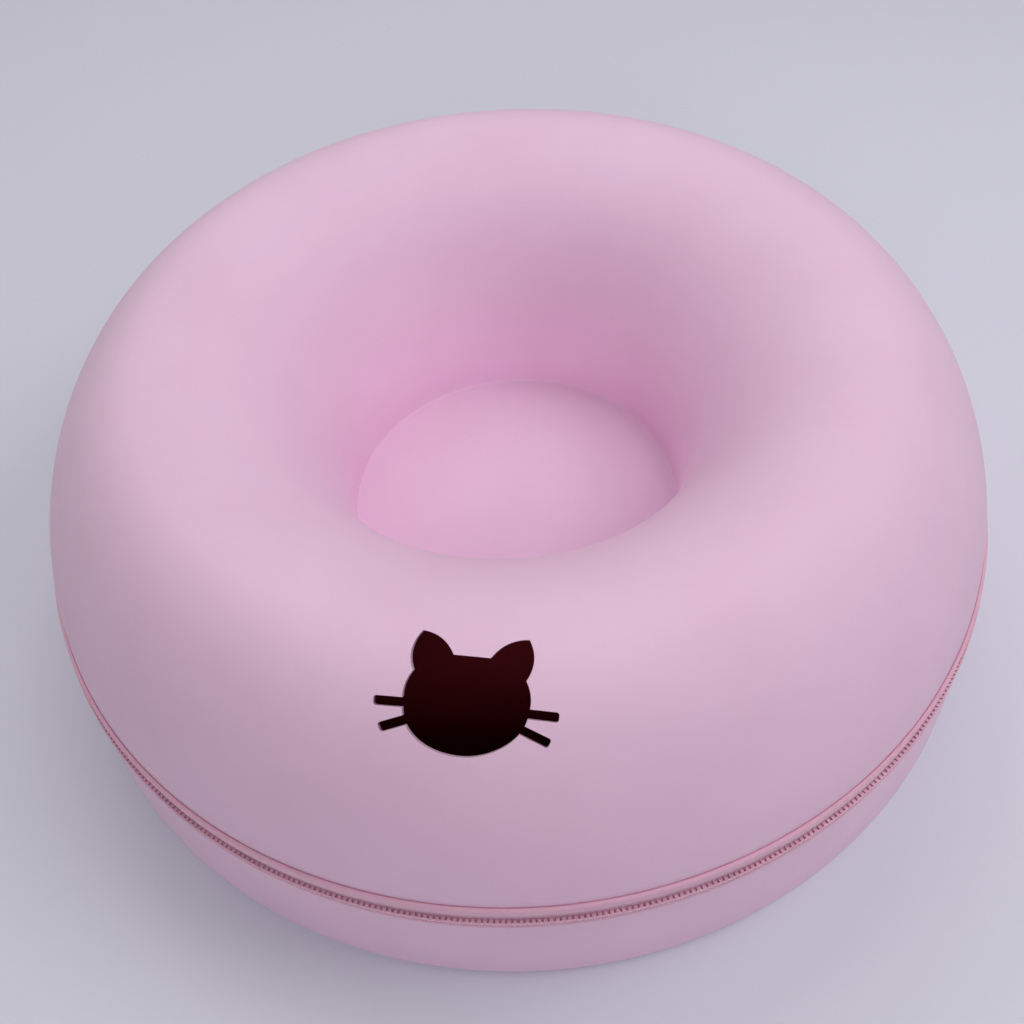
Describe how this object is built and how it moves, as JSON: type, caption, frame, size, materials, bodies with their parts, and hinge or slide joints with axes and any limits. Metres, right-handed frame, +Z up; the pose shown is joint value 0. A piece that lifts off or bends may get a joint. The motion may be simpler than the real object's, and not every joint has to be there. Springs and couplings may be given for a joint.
{
  "type": "donut cat tunnel",
  "caption": "Round doughnut-shaped cat tunnel: moulded upper shell with central pit, cat-head peephole and rear entrance, joined by a zip round its side to a shallow lower shell.",
  "frame": {"origin": "centre of the underside, on the floor plane", "axes": "+Z up through the middle of the pit, -Y towards the front where the peephole is, +Y towards the fabric hinge and the entrance"},
  "size_m": [0.59, 0.59, 0.2],
  "materials": {
    "shell_laminate": "smooth matt moulded laminate",
    "zip_tape": "fine woven tape, matt",
    "zip_teeth": "satin moulded plastic",
    "slider_metal": "enamelled die-cast metal",
    "stop_metal": "crimped metal",
    "hinge_fabric": "woven fabric strip, matt",
    "touch_fastener": "hooks and loops"
  },
  "bodies": {
    "base": {"lower_shell": "shell_laminate", "lower_zip_tape": "zip_tape", "lower_zip_chain": "zip_teeth", "lower_seam_binding": "zip_tape", "right_zip_end": "zip_teeth", "left_zip_end": "zip_teeth", "top_stop_upper": "stop_metal", "top_stop_lower": "stop_metal", "bottom_stop": "stop_metal", "hinge_patch_lower": "hinge_fabric", "hook_disc": "touch_fastener"},
    "lid": {"upper_shell": "shell_laminate", "upper_zip_tape": "zip_tape", "upper_zip_chain": "zip_teeth", "upper_seam_binding": "zip_tape", "hinge_patch_upper": "hinge_fabric", "loop_disc": "touch_fastener"},
    "slider": {"slider_body": "slider_metal"},
    "pull": {"pull_tab": "slider_metal"}
  },
  "joints": [
    {"name": "shell_opening", "type": "hinge", "parent": "base", "child": "lid", "pos_m": [0, 0.291, 0.072], "axis": [-1, 0, 0], "range_deg": [0, 145]},
    {"name": "zip_travel", "type": "hinge", "parent": "base", "child": "slider", "pos_m": [0, 0, 0.072], "axis": [0, 0, -1], "range_deg": [0, 323]},
    {"name": "pull_swing", "type": "hinge", "parent": "slider", "child": "pull", "pos_m": [0.09389, 0.28061, 0.072], "axis": [0, 0, 1], "range_deg": [0, 180]}
  ]
}
